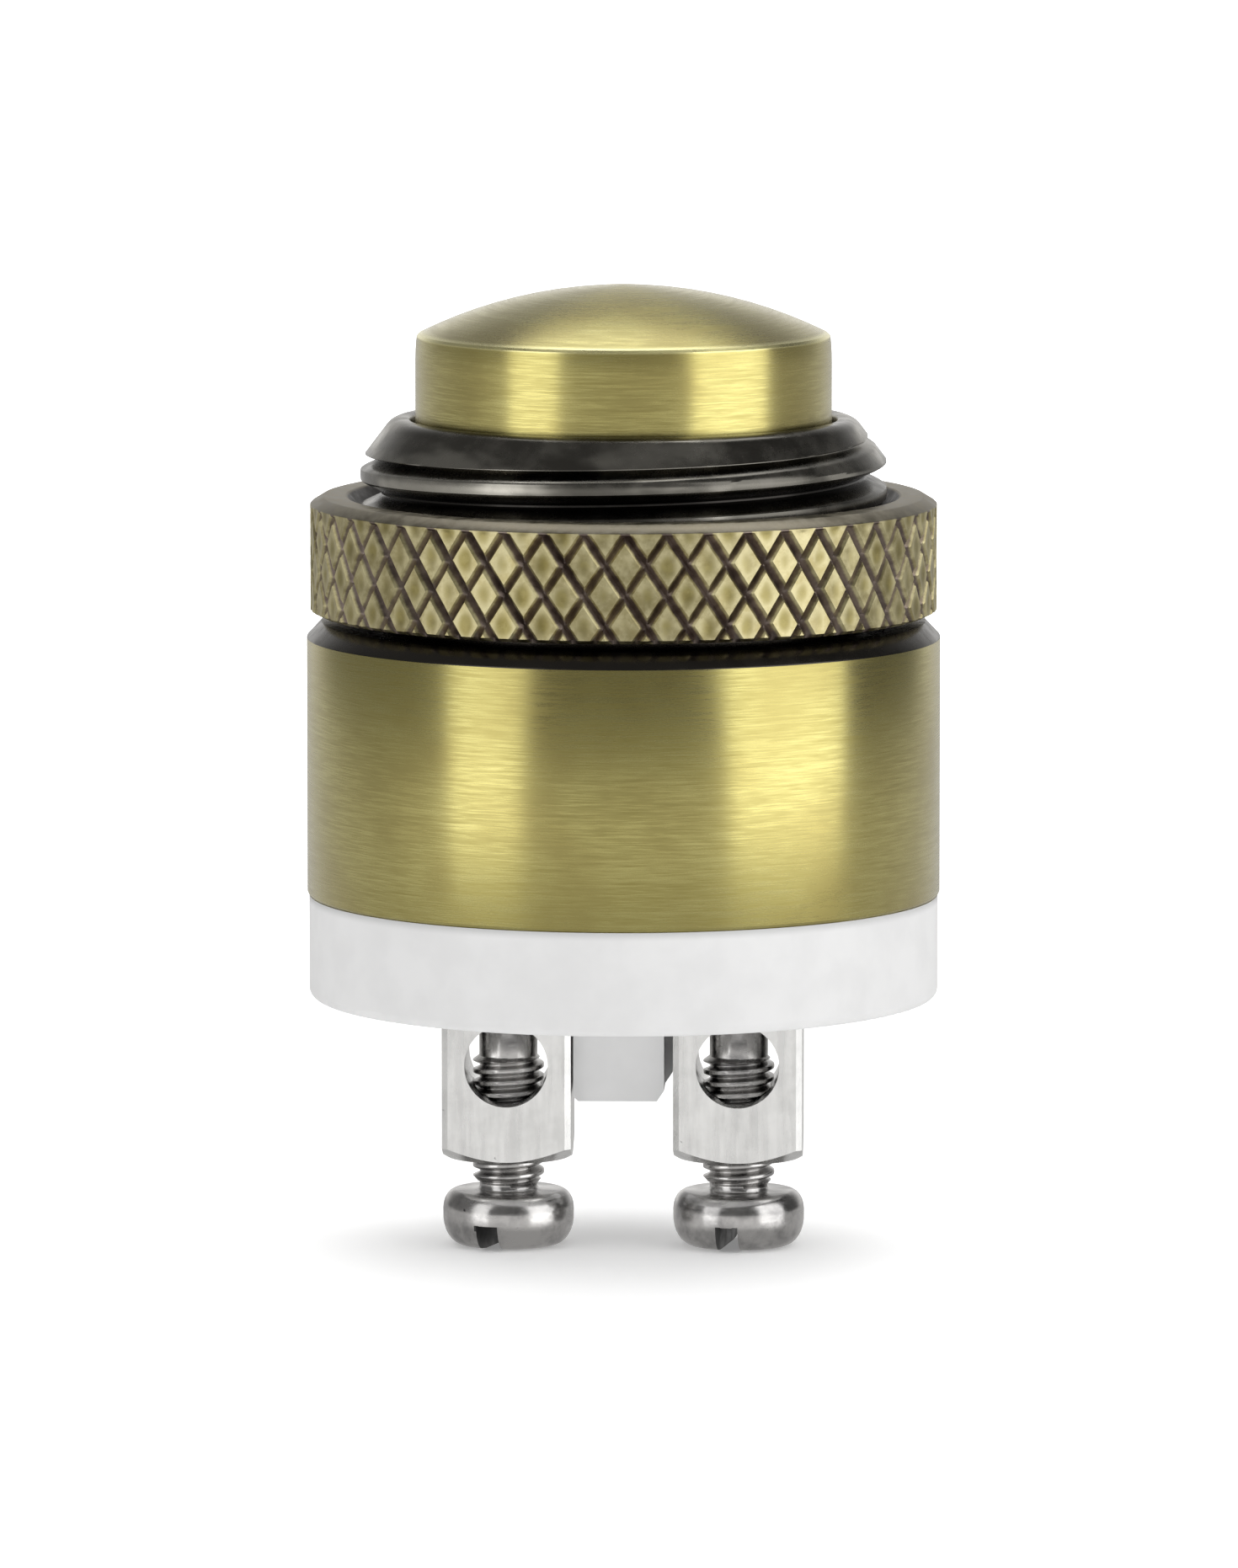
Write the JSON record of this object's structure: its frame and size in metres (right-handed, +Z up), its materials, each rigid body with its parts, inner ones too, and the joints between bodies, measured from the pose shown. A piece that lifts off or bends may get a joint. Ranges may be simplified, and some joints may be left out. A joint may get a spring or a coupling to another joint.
{
  "type": "doorbell push button",
  "caption": "Round doorbell push with a domed sprung button, knurled lock nut, barrel and screw terminals.",
  "frame": {"origin": "on the axis, in the plane under the two clamp screw heads, where it stands", "axes": "+Z up through the button, X from the left terminal to the right one, wires enter along Y"},
  "size_m": [0.0264, 0.0264, 0.0404],
  "materials": {
    "barrel_brass": "brushed round the axis and aged, with a blackened neck",
    "nut_brass": "diamond knurl, darkened in its grooves",
    "button_brass": "brushed round the axis and aged",
    "white_nylon": "smooth moulding",
    "carrier_nylon": "smooth moulding",
    "bronze": "rolled strip, bare",
    "spring_steel": "bright drawn",
    "nickel_plate": "satin nickel plate",
    "screw_steel": "bright turned, slightly smeared threads",
    "contact_silver": "bright rivet heads"
  },
  "bodies": {
    "housing": {"barrel": "barrel_brass", "terminal_base": "white_nylon", "return_spring": "spring_steel", "terminal_post_left": "nickel_plate", "contact_strip_left": "bronze", "post_washer_left": "nickel_plate", "strip_tip_left": "contact_silver", "terminal_post_right": "nickel_plate", "contact_strip_right": "bronze", "post_washer_right": "nickel_plate", "strip_tip_right": "contact_silver"},
    "button": {"button_cap": "button_brass", "contact_carrier": "carrier_nylon", "contact_bridge": "bronze", "bridge_clip": "spring_steel", "bridge_tip_left": "contact_silver", "bridge_tip_right": "contact_silver"},
    "nut": {"lock_nut": "nut_brass"},
    "left_screw": {"clamp_screw_left": "screw_steel"},
    "right_screw": {"clamp_screw_right": "screw_steel"}
  },
  "joints": [
    {"name": "button_press", "type": "slide", "parent": "housing", "child": "button", "axis": [0, 0, -1], "range_m": [0, 0.0015], "stiffness_N_per_m": 500, "springref_m": -0.0015, "deforming": ["return_spring"]},
    {"name": "nut_turn", "type": "hinge", "parent": "housing", "child": "nut", "pos_m": [0, 0, 0.02923], "axis": [0, 0, 1], "continuous": true},
    {"name": "left_screw_turn", "type": "hinge", "parent": "housing", "child": "left_screw", "pos_m": [-0.00484, 0, 0.005], "axis": [0, 0, 1], "continuous": true},
    {"name": "right_screw_turn", "type": "hinge", "parent": "housing", "child": "right_screw", "pos_m": [0.00484, 0, 0.005], "axis": [0, 0, 1], "continuous": true}
  ]
}
